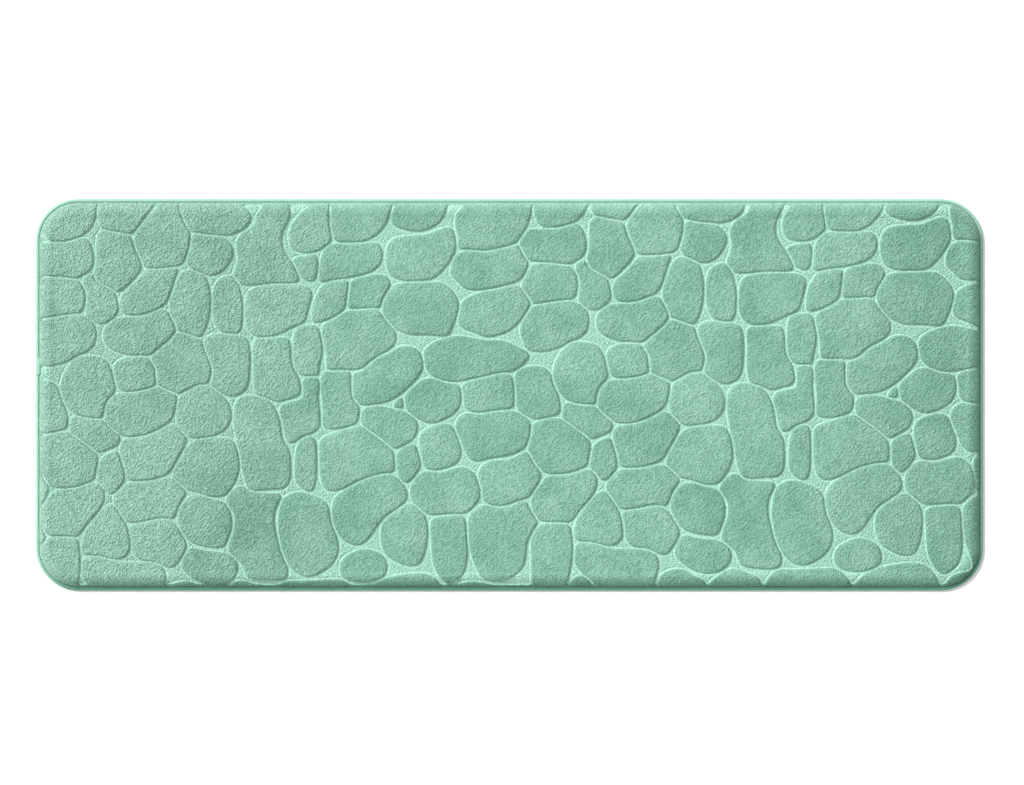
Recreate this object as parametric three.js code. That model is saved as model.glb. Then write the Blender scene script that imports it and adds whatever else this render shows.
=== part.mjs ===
// A padded bath mat lying on the floor: an embossed fleece face over a slab of memory foam, a grip-dotted backing
// cloth under it, and a narrow tape folded round the raw edges and stitched down, with a care label in the seam.
// Millimetres. +X runs along the mat, +Y across it and +Z up from the floor, with the origin under its middle.
import * as THREE from 'three';

// Driving dimensions
const LENGTH = 1200;
const WIDTH = 496;
const CORNER_RADIUS = 54;
const DOT_HEIGHT = 0.8;
const BACKING_THICKNESS = 1.1;
const FOAM_THICKNESS = 10.3;
const FACE_THICKNESS = 3.6;
const TAPE_THICKNESS = 1;
const FLANGE_THICKNESS = 2;
const THREAD_DIAMETER = 0.5;
const LABEL = { width: 38, length: 46, thickness: 0.5, fromEnd: 110, landsAt: 10.6 };

// Clearance between two pieces that touch
const GAP = 0.1;

// Insets from the outer edge of the mat, on the plan
const TAPE_LIP_ABOVE = 4.3;
const TAPE_LIP_BELOW = 8;
const FOLD = 2.2;
const RAW_EDGE = 2.4;
const STITCH_LINE = 3.4;
const FOAM_EDGE = 10.4;
const SHOULDER_FOOT = 4.9;
const SHOULDER_TOP = 19;
const DOTS_EDGE = 12;

// Heights above the floor
const BACKING_BOTTOM = DOT_HEIGHT;
const BACKING_TOP = BACKING_BOTTOM + BACKING_THICKNESS;
const FOAM_BOTTOM = BACKING_TOP + GAP;
const FOAM_TOP = FOAM_BOTTOM + FOAM_THICKNESS;
const FACE_UNDERSIDE = FOAM_TOP + GAP;
const FACE_TOP = FACE_UNDERSIDE + FACE_THICKNESS;
const TAPE_BOTTOM = THREAD_DIAMETER + 2 * GAP;
const TAPE_INSIDE = TAPE_BOTTOM + TAPE_THICKNESS;
const BACKING_RIM = TAPE_INSIDE + GAP;
const FLANGE_BOTTOM = BACKING_RIM + BACKING_THICKNESS + GAP;
const FLANGE_TOP = FLANGE_BOTTOM + FLANGE_THICKNESS;
const TAPE_TOP = FLANGE_TOP + GAP + TAPE_THICKNESS;

const ARC_STEPS = 6; // straight pieces in each rounded stretch of a section
const CORNER_STEPS = 7; // half the straight pieces in each corner of the plan
const THREAD_SIDES = 6;
const SAME_PLACE = 1e-6;

const FLEECE = new THREE.MeshStandardMaterial({ color: 0x92bfab, roughness: 0.95, metalness: 0 });
const FOAM = new THREE.MeshStandardMaterial({ color: 0xe9e4d2, roughness: 0.9, metalness: 0 });
const BACKING = new THREE.MeshStandardMaterial({ color: 0xb9c9c1, roughness: 0.9, metalness: 0 });
const GRIP = new THREE.MeshStandardMaterial({ color: 0xe6ebe8, roughness: 0.5, metalness: 0 });
const TAPE = new THREE.MeshStandardMaterial({ color: 0x8cbca6, roughness: 0.9, metalness: 0 });
const THREAD = new THREE.MeshStandardMaterial({ color: 0x7fb39b, roughness: 0.6, metalness: 0 });
const SATIN = new THREE.MeshStandardMaterial({ color: 0xf4f4f0, roughness: 0.5, metalness: 0 });

// The mat's plan, moved inwards: straight sides joined by quarter circles.
function plan(inset) {
  const radius = CORNER_RADIUS - inset;
  const x = LENGTH / 2 - CORNER_RADIUS;
  const y = WIDTH / 2 - CORNER_RADIUS;
  const corners = [[x, y], [-x, y], [-x, -y], [x, -y]];
  const shape = new THREE.Shape();
  corners.forEach(([cx, cy], i) => {
    shape.absarc(cx, cy, radius, (i * Math.PI) / 2, ((i + 1) * Math.PI) / 2, false);
  });
  return shape;
}

// A stretch of an ellipse in a section, as [inset, height] points. 0 degrees faces outwards and 90 faces up.
function arc(inset, height, across, up, fromDegrees, toDegrees) {
  return Array.from({ length: ARC_STEPS + 1 }, (_, i) => {
    const angle = THREE.MathUtils.degToRad(fromDegrees + ((toDegrees - fromDegrees) * i) / ARC_STEPS);
    return [inset - across * Math.cos(angle), height + up * Math.sin(angle)];
  });
}

// A closed skin through one outline of the plan at each [inset, height] of a section, which runs anticlockwise when
// outwards is to the right. A ring's section closes on itself, and any other starts and ends under a flat cap.
function sweepRoundPlan(section, isRing) {
  const rings = section.map(([inset, height]) =>
    plan(inset).getPoints(CORNER_STEPS).map((p) => new THREE.Vector3(p.x, p.y, height)));
  const count = rings[0].length;
  const points = rings.flat();
  const faces = [];
  const spans = isRing ? rings.length : rings.length - 1;
  for (let s = 0; s < spans; s++) {
    const low = s * count;
    const high = ((s + 1) % rings.length) * count;
    for (let i = 0; i < count; i++) {
      const next = (i + 1) % count;
      faces.push(low + i, low + next, high + next);
      faces.push(low + i, high + next, high + i);
    }
  }
  if (!isRing) {
    const last = (rings.length - 1) * count;
    const first = points.push(new THREE.Vector3(0, 0, section[0][1])) - 1;
    const final = points.push(new THREE.Vector3(0, 0, section.at(-1)[1])) - 1;
    for (let i = 0; i < count; i++) {
      const next = (i + 1) % count;
      faces.push(first, next, i);
      faces.push(final, last + i, last + next);
    }
  }
  const geometry = new THREE.BufferGeometry().setFromPoints(points);
  geometry.setIndex(faces);
  geometry.computeVertexNormals();
  return geometry;
}

// The fleece: a shallow dish upside down over the foam, with a flat flange that the tape grips.
function faceCover() {
  const shoulder = SHOULDER_TOP - SHOULDER_FOOT;
  const inner = SHOULDER_TOP - FOAM_EDGE + 2 * GAP;
  return sweepRoundPlan([
    ...arc(SHOULDER_TOP, FLANGE_BOTTOM, inner, FACE_UNDERSIDE - FLANGE_BOTTOM, 90, 0),
    [RAW_EDGE, FLANGE_BOTTOM],
    [RAW_EDGE, FLANGE_TOP],
    ...arc(SHOULDER_TOP, FLANGE_TOP, shoulder, FACE_TOP - FLANGE_TOP, 0, 90),
  ]);
}

// The memory foam: a slab with its upper edge rounded over.
function foamCore() {
  const rise = FOAM_TOP - FLANGE_BOTTOM;
  return sweepRoundPlan([
    [FOAM_EDGE, FOAM_BOTTOM],
    ...arc(SHOULDER_TOP, FLANGE_BOTTOM, SHOULDER_TOP - FOAM_EDGE, rise, 0, 90),
  ]);
}

// The backing cloth: flat under the foam, stepping up over the tape's lower lip to the raw edge.
function backingCloth() {
  const step = FOAM_EDGE - GAP;
  return sweepRoundPlan([
    [step, BACKING_BOTTOM],
    [TAPE_LIP_BELOW, BACKING_RIM],
    [RAW_EDGE, BACKING_RIM],
    [RAW_EDGE, BACKING_RIM + BACKING_THICKNESS],
    [TAPE_LIP_BELOW + GAP, BACKING_RIM + BACKING_THICKNESS],
    [step, BACKING_TOP],
  ]);
}

// The plain envelope of the printed grip dots, stepping round the care label's place.
function gripDots() {
  const outline = plan(DOTS_EDGE).getPoints(2 * CORNER_STEPS);
  const end = LABEL.length + TAPE_LIP_BELOW + 2 * GAP - WIDTH / 2;
  const near = DOTS_EDGE - WIDTH / 2;
  const middle = LENGTH / 2 - LABEL.fromEnd;
  const reach = LABEL.width / 2 + GAP;
  const notch = [[middle - reach, near], [middle - reach, end], [middle + reach, end], [middle + reach, near]];
  const corner = outline.findIndex((p) => p.x > 0 && Math.abs(p.y - near) < SAME_PLACE);
  outline.splice(corner, 0, ...notch.map(([x, y]) => new THREE.Vector2(x, y)));
  const depth = DOT_HEIGHT - GAP;
  return new THREE.ExtrudeGeometry(new THREE.Shape(outline), { depth, bevelEnabled: false });
}

// The edge tape: folded in a U round the raw edges, with a longer lip below than above.
function edgeTape() {
  const middle = (TAPE_BOTTOM + TAPE_TOP) / 2;
  const outer = (TAPE_TOP - TAPE_BOTTOM) / 2;
  const inner = outer - TAPE_THICKNESS;
  return sweepRoundPlan([
    [TAPE_LIP_BELOW, TAPE_BOTTOM],
    ...arc(FOLD, middle, FOLD, outer, -90, 90),
    [TAPE_LIP_ABOVE, TAPE_TOP],
    [TAPE_LIP_ABOVE, TAPE_TOP - TAPE_THICKNESS],
    ...arc(FOLD, middle, FOLD - TAPE_THICKNESS, inner, 90, -90),
    [TAPE_LIP_BELOW, TAPE_INSIDE],
  ], true);
}

// One thread of the lock stitch: a thin round ring along the stitch line.
function stitchThread(height) {
  const section = Array.from({ length: THREAD_SIDES }, (_, i) => {
    const angle = (i * 2 * Math.PI) / THREAD_SIDES;
    const radius = THREAD_DIAMETER / 2;
    return [STITCH_LINE - radius * Math.cos(angle), height + radius * Math.sin(angle)];
  });
  return sweepRoundPlan(section, true);
}

// The care label: a blank folded tab coming out from the tape's lower lip and lying against the backing.
function careLabel() {
  const root = TAPE_LIP_BELOW + GAP;
  const end = TAPE_LIP_BELOW + LABEL.length;
  const low = BACKING_BOTTOM - GAP - LABEL.thickness;
  const high = low + LABEL.thickness;
  const lift = BACKING_RIM - BACKING_BOTTOM - 3 * GAP;
  const side = [
    [root, low + lift],
    [LABEL.landsAt, low],
    [end, low],
    [end, high],
    [LABEL.landsAt, high],
    [root, high + lift],
  ];
  const shape = new THREE.Shape(side.map(([inset, height]) => new THREE.Vector2(inset, height)));
  const geometry = new THREE.ExtrudeGeometry(shape, { depth: LABEL.width, bevelEnabled: false });
  const along = new THREE.Vector3(0, 1, 0);
  const up = new THREE.Vector3(0, 0, 1);
  const across = new THREE.Vector3(1, 0, 0);
  geometry.applyMatrix4(new THREE.Matrix4().makeBasis(along, up, across));
  geometry.translate(LENGTH / 2 - LABEL.fromEnd - LABEL.width / 2, -WIDTH / 2, 0);
  return geometry;
}

const mat = new THREE.Group();

function addPiece(name, geometry, material) {
  const mesh = new THREE.Mesh(geometry, material);
  mesh.name = name;
  mat.add(mesh);
}

addPiece('face_cover', faceCover(), FLEECE);
addPiece('foam_core', foamCore(), FOAM);
addPiece('backing_cloth', backingCloth(), BACKING);
addPiece('grip_dots', gripDots(), GRIP);
addPiece('edge_tape', edgeTape(), TAPE);
addPiece('needle_thread', stitchThread(TAPE_TOP + GAP + THREAD_DIAMETER / 2), THREAD);
addPiece('bobbin_thread', stitchThread(TAPE_BOTTOM - GAP - THREAD_DIAMETER / 2), THREAD);
addPiece('care_label', careLabel(), SATIN);

export default mat;
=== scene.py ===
import math

import bpy
import numpy as np
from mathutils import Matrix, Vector


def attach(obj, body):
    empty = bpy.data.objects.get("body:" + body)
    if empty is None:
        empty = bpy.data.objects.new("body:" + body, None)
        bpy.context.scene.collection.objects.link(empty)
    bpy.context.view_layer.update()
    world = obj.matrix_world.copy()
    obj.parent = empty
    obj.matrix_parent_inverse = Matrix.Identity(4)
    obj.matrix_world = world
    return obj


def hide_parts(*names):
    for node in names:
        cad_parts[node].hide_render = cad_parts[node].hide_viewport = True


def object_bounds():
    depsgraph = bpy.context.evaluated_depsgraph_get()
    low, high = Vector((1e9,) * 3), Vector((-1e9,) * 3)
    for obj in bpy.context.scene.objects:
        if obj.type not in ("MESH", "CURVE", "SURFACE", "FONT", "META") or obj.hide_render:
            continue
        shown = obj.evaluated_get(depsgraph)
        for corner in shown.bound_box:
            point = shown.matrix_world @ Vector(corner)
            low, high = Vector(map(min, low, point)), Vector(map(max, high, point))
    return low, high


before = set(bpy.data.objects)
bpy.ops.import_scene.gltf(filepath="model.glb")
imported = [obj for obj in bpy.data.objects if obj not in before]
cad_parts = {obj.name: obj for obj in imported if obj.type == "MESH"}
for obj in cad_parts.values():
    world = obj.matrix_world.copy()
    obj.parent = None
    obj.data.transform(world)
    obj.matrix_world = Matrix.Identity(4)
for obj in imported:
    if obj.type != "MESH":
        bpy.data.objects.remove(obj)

# An embossed fleece bath mat lying on the floor, in metres: the fleece face, foam, backing cloth, grip dots,
# edge tape, two stitching threads and a blank care label. The stones' outlines are in millimetres.
cad_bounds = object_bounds()

MM = 0.001
LENGTH, WIDTH, HEIGHT = (round(high - low, 4) for low, high in zip(*cad_bounds))
CORNER = 0.054
PERIMETER = 2 * (LENGTH + WIDTH - 4 * CORNER) + 2 * math.pi * CORNER
SEED = 7

# Thicknesses, and the clearance between pieces that touch
DOT_HEIGHT = 0.0008
BACKING_THICKNESS = 0.0011
FOAM_THICKNESS = 0.0103
FLANGE_THICKNESS = 0.002
TAPE_THICKNESS = 0.001
THREAD = 0.0005
GAP = 0.0001

# Insets from the mat's outer edge
TAPE_LIP_ABOVE = 0.0043
TAPE_LIP_BELOW = 0.008
TAPE_FOLD = 0.0034
RAW_EDGE = 0.0027
STITCH_LINE = 0.0034
SHOULDER_FOOT = 0.0046
FOAM_EDGE = 0.0104
SHOULDER_TOP = 0.019
DOTS_EDGE = 0.012

# Heights above the floor
BACKING_BOTTOM = DOT_HEIGHT
BACKING_TOP = BACKING_BOTTOM + BACKING_THICKNESS
FOAM_BOTTOM = BACKING_TOP + GAP
FOAM_TOP = FOAM_BOTTOM + FOAM_THICKNESS
FACE_UNDERSIDE = FOAM_TOP + GAP
FACE_TOP = HEIGHT
TAPE_BOTTOM = THREAD + 2 * GAP
BACKING_RIM = TAPE_BOTTOM + TAPE_THICKNESS + GAP
FLANGE_BOTTOM = BACKING_RIM + BACKING_THICKNESS + GAP
FLANGE_TOP = FLANGE_BOTTOM + FLANGE_THICKNESS
TAPE_TOP = FLANGE_TOP + GAP + TAPE_THICKNESS
PILE_AT_SEAM = TAPE_TOP - 2 * GAP

# The embossing. A stone's wall starts at its foot, which the outline is spread out to.
GROOVE_DEPTH = 0.0028
GROOVE_WIDTH = 0.0010
POCKET_START = 0.0010
POCKET_RUN = 0.0022
WALL_WIDTH = 0.0022
CROWN = 0.0009
CROWN_RUN = 0.011
CORNER_ROUND = 0.0095
SPREAD = 0.0016
REACH = 0.008
SHOULDER_FULLNESS = 1.3
EDGE_PLAIN = 0.0045
EDGE_BLEND = 0.0055
RIM_BLEND = 0.006

# How much smaller the stones are in the lower layers, and their share of the grooves' depth
LINING_SHRINK, LINING_SHARE = 0.003, 0.62
FOAM_SHRINK, FOAM_SHARE = 0.006, 0.66

# The relief of the pile itself
TUFT_HEIGHT = 0.00022
SIDE_TUFT_HEIGHT = 0.00016
SWELL_HEIGHT = 0.0004
PILE_SINK = 0.0002

# The fine grid over the top of the face; other pieces use every second or third of its points
FINE = (960, 372)
BACKING_GRID = (192, 76)
RINGS = 15

# Edge tape and stitches
STITCH_PITCH = 0.003
STITCH_DIP = 0.0006
TAPE_POINTS = 1500
SLACK_POINTS = 420
LAP_AT = 0.039
LAP = 0.014
TAPE_SLACK = 0.00012

# Grip dots and the care label
DOT_PITCH = 0.012
DOT_RADIUS = 0.0016
DOT_SIDES = 8
LABEL_MIDDLE = 0.49
LABEL_WIDTH = 0.038
LABEL_LENGTH = 0.046
RIBBON = 0.0002

# Brushed patches of the nap: x, y, size and weight
NAP_PATCHES = [
    (-0.525, 0.012, 0.045, 0.22),
    (-0.455, 0.000, 0.040, 0.14),
    (-0.430, 0.050, 0.050, 0.18),
    (-0.373, 0.170, 0.060, 0.34),
    (-0.335, -0.170, 0.085, 0.50),
    (0.292, -0.133, 0.055, 0.3),
]
STONE_TONE = 0.08
# Painted shade on the sides of the mat that face away from the light: how far in from the edge it reaches,
# and the tint it multiplies in
SHADE_REACH = 0.023
SHADE_TINT = (166, 200, 188)

WORLD_LIGHT = 0.62
KEY_LIGHT = 4.95
FILL_LIGHT = 0.15
CAMERA_PLACE = (0.0033, 0.0027, 5.41)

# One turn of the embossing roller, and the corners of the stones that it prints, row by row from the top
TURN = 0.6231
TURN_RISE = 0.0174
TURN_STRETCH = 0.00625
TURN_SKEW = 0.0102
TURN_START = -0.531
STONES = [
    # Row 1
    [(-591, 262), (-592, 222), (-590, 205), (-582, 194.5), (-565, 194), (-546, 198), (-531, 209),
     (-524, 224), (-521, 262)],
    [(-516, 262), (-520, 235), (-520, 216), (-512, 209), (-495, 206), (-479, 203), (-471, 213),
     (-461, 227), (-449, 241), (-446, 262)],
    [(-424, 262), (-420, 240), (-411, 214), (-405, 206), (-404, 192), (-410, 173), (-415, 165),
     (-432, 161), (-460, 160.5), (-464, 168), (-474, 190), (-474, 203), (-461, 219), (-444, 238),
     (-440, 262)],
    [(-420, 262), (-417, 238), (-409, 216), (-400, 206), (-382, 203), (-356, 201.5), (-340, 207.5),
     (-330, 216), (-327, 226), (-333, 236), (-345, 242), (-350, 262)],
    [(-312, 262), (-312, 236), (-320, 228), (-322, 213), (-341, 203), (-346, 190), (-342, 178),
     (-345, 163), (-350, 153), (-343, 143), (-337, 138.5), (-318, 139.5), (-303, 142), (-268, 141.5),
     (-266, 151), (-275, 166), (-286, 180), (-290, 195), (-287, 209), (-277, 226), (-279, 240),
     (-284, 262)],
    [(-229, 262), (-229, 215), (-225, 200), (-229, 191), (-240, 183), (-256, 179.5), (-273, 182.5),
     (-279, 193), (-279, 208), (-271, 222), (-259, 234), (-248, 242), (-246, 262)],
    [(-225, 262), (-226, 218), (-223, 199), (-216, 193), (-195, 193), (-180, 195.5), (-164, 206),
     (-155, 220), (-149, 238), (-147, 262)],
    [(-144, 262), (-146, 235), (-151, 222), (-145, 213), (-127, 208), (-112, 207), (-95, 213),
     (-84, 224), (-79, 240), (-78, 262)],
    [(-52, 262), (-54, 241), (-67, 231), (-69, 217), (-64, 200), (-65, 184.5), (-52, 184.5),
     (-32, 182.5), (-5, 188), (9, 193), (19, 206), (25, 223), (29, 242), (30, 262)],
    # Row 2
    [(-601, 191), (-580, 191), (-563, 191), (-547, 197), (-535, 198), (-529, 187), (-526, 171),
     (-529, 159), (-540, 152), (-549, 147), (-575, 150), (-599, 152), (-605, 164), (-611, 176),
     (-604, 184)],
    [(-521, 203), (-513, 208), (-500, 204.5), (-480, 202), (-476, 188), (-467, 171), (-466, 158),
     (-478, 145), (-494, 129), (-503, 134), (-521, 144), (-525, 155), (-521, 170), (-522, 190)],
    [(-402, 204), (-385, 200.5), (-363, 199.5), (-352, 190), (-349, 180), (-355, 166), (-366, 154),
     (-381, 150.5), (-398, 157), (-408, 166), (-406, 177), (-402, 191)],
    [(-275, 172.5), (-259, 174.5), (-243, 178), (-243, 156), (-246, 147), (-252, 142.5), (-264, 149),
     (-269, 162)],
    [(-230, 190), (-205, 191), (-188, 190), (-166, 193), (-160.5, 180), (-163, 166), (-173, 156.5),
     (-196, 149.5), (-225, 146), (-241, 141.5), (-241, 156), (-237, 178)],
    [(-156, 185), (-149, 197), (-135, 200), (-104, 201.5), (-84, 211), (-73, 211), (-69, 197),
     (-68, 182), (-82, 161), (-97, 146), (-118, 144.5), (-138, 145), (-152, 152), (-156, 165)],
    [(-73, 165), (-68, 177), (-55, 182), (-32, 179), (-8, 184), (11, 190), (15, 180), (24, 167),
     (20, 152), (6, 142), (-15, 136.5), (-42, 132.5), (-57, 134), (-66, 145), (-75, 152)],
    # Row 3
    [(-595, 147.5), (-575, 148), (-549, 145.5), (-543, 140), (-536, 131), (-538, 112), (-544, 103),
     (-562, 101.5), (-580, 98.5), (-592, 96.5), (-596, 104), (-608, 117), (-604, 130)],
    [(-541, 146.5), (-528, 153.5), (-525, 144), (-515, 138), (-500, 131), (-498, 121), (-494, 108),
     (-502, 96), (-517, 88), (-531, 97), (-536, 103), (-534, 118), (-534, 129)],
    [(-490, 127), (-480, 135), (-466, 149), (-461, 157.5), (-440, 158), (-418, 161), (-424, 149),
     (-429, 129), (-436, 114), (-447, 109), (-459, 102.5), (-475, 100), (-489, 103), (-493, 114)],
    [(-413, 158), (-397, 156), (-384, 149.5), (-380, 134), (-378.5, 116), (-381, 95), (-388, 76),
     (-396, 72), (-406, 76), (-419, 80.5), (-424, 94), (-431, 110), (-427, 125), (-422, 141)],
    [(-373, 140), (-362, 150), (-348, 150), (-341, 133), (-338, 115), (-338.5, 95), (-341, 77.5),
     (-360, 77.5), (-371, 86), (-375, 100), (-375, 125)],
    [(-332, 130), (-320, 136), (-300, 138.5), (-262, 138.5), (-252, 134), (-250, 126), (-256, 106),
     (-259, 92), (-275, 86), (-290, 78), (-306, 73), (-322, 74), (-333, 85), (-334.5, 105)],
    [(-236, 139), (-222, 142.5), (-204, 144.5), (-204.5, 135), (-207, 112), (-216, 102), (-237, 93),
     (-250, 91), (-248.5, 113), (-244, 127)],
    [(-201, 145), (-186, 147.5), (-172, 152), (-157, 151), (-150, 140), (-153, 131), (-161, 121),
     (-163, 110), (-178, 111.5), (-193, 108.5), (-205, 109)],
    [(-148, 139), (-125, 141), (-97, 141.5), (-86, 142.5), (-73, 132), (-64, 118), (-66, 104), (-72, 88),
     (-77, 75.5), (-87, 74.5), (-100, 76.5), (-128, 76), (-145, 84), (-158, 99), (-161.5, 112),
     (-158, 124)],
    [(-61, 118), (-45, 127), (-25, 130.5), (-3, 136.5), (11, 138.5), (20, 127), (27, 116), (19, 101),
     (9, 89), (-5, 78), (-30, 72.5), (-43, 79.5), (-60, 84.5), (-66, 93), (-62, 105)],
    # Row 4
    [(-592, 94.5), (-575, 97.5), (-547, 102), (-531, 95), (-523, 84), (-524, 66), (-532, 56),
     (-550, 48.5), (-562, 41.5), (-580, 36.5), (-600, 38), (-606, 50), (-610, 68), (-601, 83)],
    [(-512, 86), (-496, 97.5), (-472, 98), (-457, 101), (-437, 109.5), (-427, 96), (-422, 83),
     (-430, 70), (-447, 57), (-456, 50), (-474, 50), (-492, 53), (-509, 61), (-514, 73)],
    [(-419, 80), (-405, 76), (-390, 69.5), (-388, 58), (-381, 43), (-376.5, 31), (-382, 13.5),
     (-396, 13.5), (-408, 6), (-418, 0.5), (-432, 5.5), (-444, 11), (-447, 24), (-447, 35), (-455, 45),
     (-445, 55), (-430, 68)],
    [(-384, 72), (-374, 77), (-345, 75), (-331, 71.5), (-328.5, 50), (-330, 18), (-334, 5), (-351, -3.5),
     (-368, 5), (-379, 14), (-373, 31), (-381, 53), (-386, 64)],
    [(-325, 70.5), (-300, 71), (-281, 72.5), (-277.5, 62), (-277, 42), (-268, 23), (-264, 8), (-267, -2),
     (-281, -4.5), (-293, -9.5), (-306, -3), (-321, -0.5), (-324, 18), (-323, 48)],
    [(-273, 80), (-265, 87), (-243, 88), (-239, 73), (-236.5, 56), (-241, 38), (-242, 26), (-249, 23.5),
     (-262, 24.5), (-271, 32), (-274, 42), (-273, 60)],
    [(-238, 88), (-219, 96.5), (-206, 106.5), (-184, 106.5), (-168, 108), (-159, 97), (-144, 79),
     (-144, 66), (-154, 56), (-170, 49.5), (-187, 33), (-210, 32), (-232, 30.5), (-231, 52), (-236, 73)],
    [(-109, 56), (-97, 66), (-70, 74.5), (-52, 72.5), (-35, 68.5), (-5, 68), (10, 60), (25, 53),
     (22, 43), (5, 29), (-12, 29.5), (-27, 26), (-62, 17.5), (-82, 16.5), (-98, 24), (-107, 35)],
    # Row 5
    [(-616, 12), (-595, 18.5), (-578, 16.5), (-570, 6), (-563, -14), (-559.5, -28), (-559.5, -42),
     (-575, -45.5), (-590, -49.5), (-604, -43), (-614, -35), (-614, -12)],
    [(-548, 48), (-533, 49), (-514, 47), (-505, 35), (-500, 18), (-499, 5), (-510, -8), (-513, -18),
     (-513, -29), (-533, -29), (-549, -25), (-562, -12), (-568, 1), (-567, 17), (-560, 34)],
    [(-501, 38), (-490, 45.5), (-472, 48.5), (-457, 46), (-449, 36), (-447, 24), (-448, 11), (-463, 6.5),
     (-482, 4), (-494, 7), (-499, 18)],
    [(-497, 1), (-480, 1.5), (-462, 4), (-446, 10), (-436, 6.5), (-421, 1), (-422, -15), (-428, -31),
     (-441, -42), (-465, -51), (-487, -53), (-504, -42), (-512, -32), (-512, -18), (-507, -6)],
    [(-417, 0), (-404, 5), (-396, 11), (-381, 11.5), (-362, -3), (-354, -13), (-352, -28), (-357, -42),
     (-372, -51), (-402, -55.5), (-413, -46), (-421, -35), (-421, -22)],
    [(-347, -10), (-337, -1), (-319, -2), (-304, -8), (-296, -19), (-291, -33), (-288.5, -57),
     (-278, -70), (-277, -104), (-283, -118.5), (-303, -119), (-328, -121.5), (-335, -108), (-341, -73),
     (-347.5, -45), (-348.5, -25)],
    [(-262, 22), (-244, 23), (-240.5, 12), (-243, 0), (-241, -20), (-238.5, -36), (-247, -47.5),
     (-261, -51), (-277, -62.5), (-283, -56), (-286, -36), (-291, -20), (-288, -12), (-262, -7),
     (-260, 5)],
    [(-238, 29.5), (-215, 29.5), (-200.5, 29), (-201.5, 12), (-200.5, -2), (-191, -13), (-190, -26),
     (-195, -37), (-212, -42), (-231, -43.5), (-238, -36), (-235, -18), (-238, 5)],
    [(-198, 28), (-187, 28), (-171, 43.5), (-150, 53), (-140, 61), (-121, 61), (-110, 48), (-109, 35),
     (-117, 21), (-138, 1), (-155, -9), (-176, -12.5), (-190, -12.5), (-198, -3), (-198.5, 12)],
    [(-147, -13), (-139, -4), (-136, -5), (-134, -16), (-144, -17.5)],
    [(-132, 0), (-110, 20), (-96, 20), (-79, 14.5), (-62, 12), (-61.5, -8), (-67, -21), (-82, -31),
     (-101, -37), (-117, -29), (-130, -20), (-132, -8)],
    [(-61, 14), (-38, 19), (-14, 25), (2.5, 26.5), (6, 6), (5.5, -17.5), (-17, -18), (-41, -22.5),
     (-57, -18), (-57.5, 0)],
    # Row 6
    [(-553, -27), (-537, -31), (-513, -32.5), (-507, -41), (-492, -51.5), (-496, -64), (-508, -68),
     (-519, -74), (-531, -65), (-545, -54.5), (-556, -47), (-555, -36)],
    [(-594, -55), (-576, -49), (-558, -47.5), (-545, -57), (-528, -69), (-520, -80), (-524, -97),
     (-525, -107), (-549, -116.5), (-577, -117.5), (-590, -106), (-599, -90), (-598, -80), (-594, -66)],
    [(-517, -80), (-496, -69.5), (-492, -84), (-487, -101), (-490, -114), (-504, -128), (-513, -116),
     (-522, -108), (-519, -94)],
    [(-490, -57), (-462, -55), (-444, -47), (-428, -36), (-417, -46), (-407, -55), (-417, -74),
     (-431, -100), (-458, -108), (-484, -108), (-485, -93), (-493, -71)],
    [(-403, -59), (-376, -55.5), (-353, -55), (-345, -68), (-341.5, -85), (-344, -104), (-359, -128),
     (-378, -129), (-396, -121.5), (-408, -121), (-428, -102), (-420, -87)],
    [(-188, -19), (-172, -14.5), (-157, -16), (-130, -22.5), (-119, -31), (-115.5, -43), (-122, -56),
     (-147, -70), (-160, -56), (-187, -38.5)],
    [(-240, -55), (-212, -46), (-196, -40.5), (-185, -41), (-148, -69), (-145.5, -85), (-146.5, -98.5),
     (-163, -99), (-186, -105.5), (-210, -118), (-226, -122.5), (-236, -116), (-239.5, -100)],
    [(-265, -58), (-257, -53), (-245.5, -54), (-244.5, -80), (-245, -108), (-249.5, -123), (-262, -119),
     (-271.5, -109), (-271, -85), (-269.5, -68)],
    [(-57, -22), (-41, -27), (-22, -23), (8, -20.5), (27, -34), (26, -52), (20, -67), (2, -76),
     (-27, -80), (-42, -85), (-53, -79), (-60, -60), (-70, -36)],
    [(-113, -48), (-98, -39.5), (-75, -36), (-66, -54), (-60.5, -73), (-66, -87), (-92, -95.5),
     (-107, -93), (-110, -80), (-114, -62)],
    [(-143, -72), (-120, -60.5), (-116, -75), (-112, -90), (-121, -103), (-131, -113), (-141, -103),
     (-142, -88)],
    [(-36, -91), (-26, -84.5), (2, -82.5), (19, -72), (26, -75), (31, -87), (40, -98), (38, -108),
     (25, -129), (12, -132), (-6, -139.5), (-22, -140), (-34, -133), (-36, -115), (-40, -100)],
    # Row 7
    [(-578, -122), (-549, -120), (-525, -111), (-514, -118), (-512.5, -133), (-521, -148), (-534, -161),
     (-546, -179.5), (-562, -178), (-585, -177.5), (-592, -166), (-596, -152), (-590, -138),
     (-580, -129)],
    [(-508, -138), (-498, -143), (-489, -158), (-480, -177), (-480, -196), (-489, -207), (-503, -207.5),
     (-516, -203), (-540, -202), (-541.5, -188), (-536, -171), (-523, -155)],
    [(-485, -111.5), (-462, -112), (-427, -104.5), (-407, -123), (-418, -136), (-424, -158),
     (-439, -153.5), (-467, -160.5), (-483, -162), (-491, -150), (-502, -134), (-498, -125)],
    [(-482, -165), (-460, -162.5), (-441, -157.5), (-425, -161.5), (-413, -180), (-408, -191),
     (-416, -206), (-426, -219.5), (-438, -215.5), (-450, -209.5), (-468, -209), (-477, -199),
     (-478.5, -180)],
    [(-406, -128.5), (-393, -128), (-377, -133), (-362, -135), (-353, -149), (-351.5, -166),
     (-361, -194), (-384, -192), (-405, -186), (-419, -163), (-420, -148)],
    [(-358, -131), (-346, -116.5), (-337, -116), (-329, -124), (-306, -125.5), (-289, -125),
     (-291, -134), (-298, -146), (-298.5, -165), (-290.5, -200), (-280.5, -219), (-282, -232),
     (-292, -235), (-318, -234), (-334, -230), (-337, -212), (-355, -199), (-356, -192), (-347, -170),
     (-347, -149), (-358, -136)],
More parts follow.
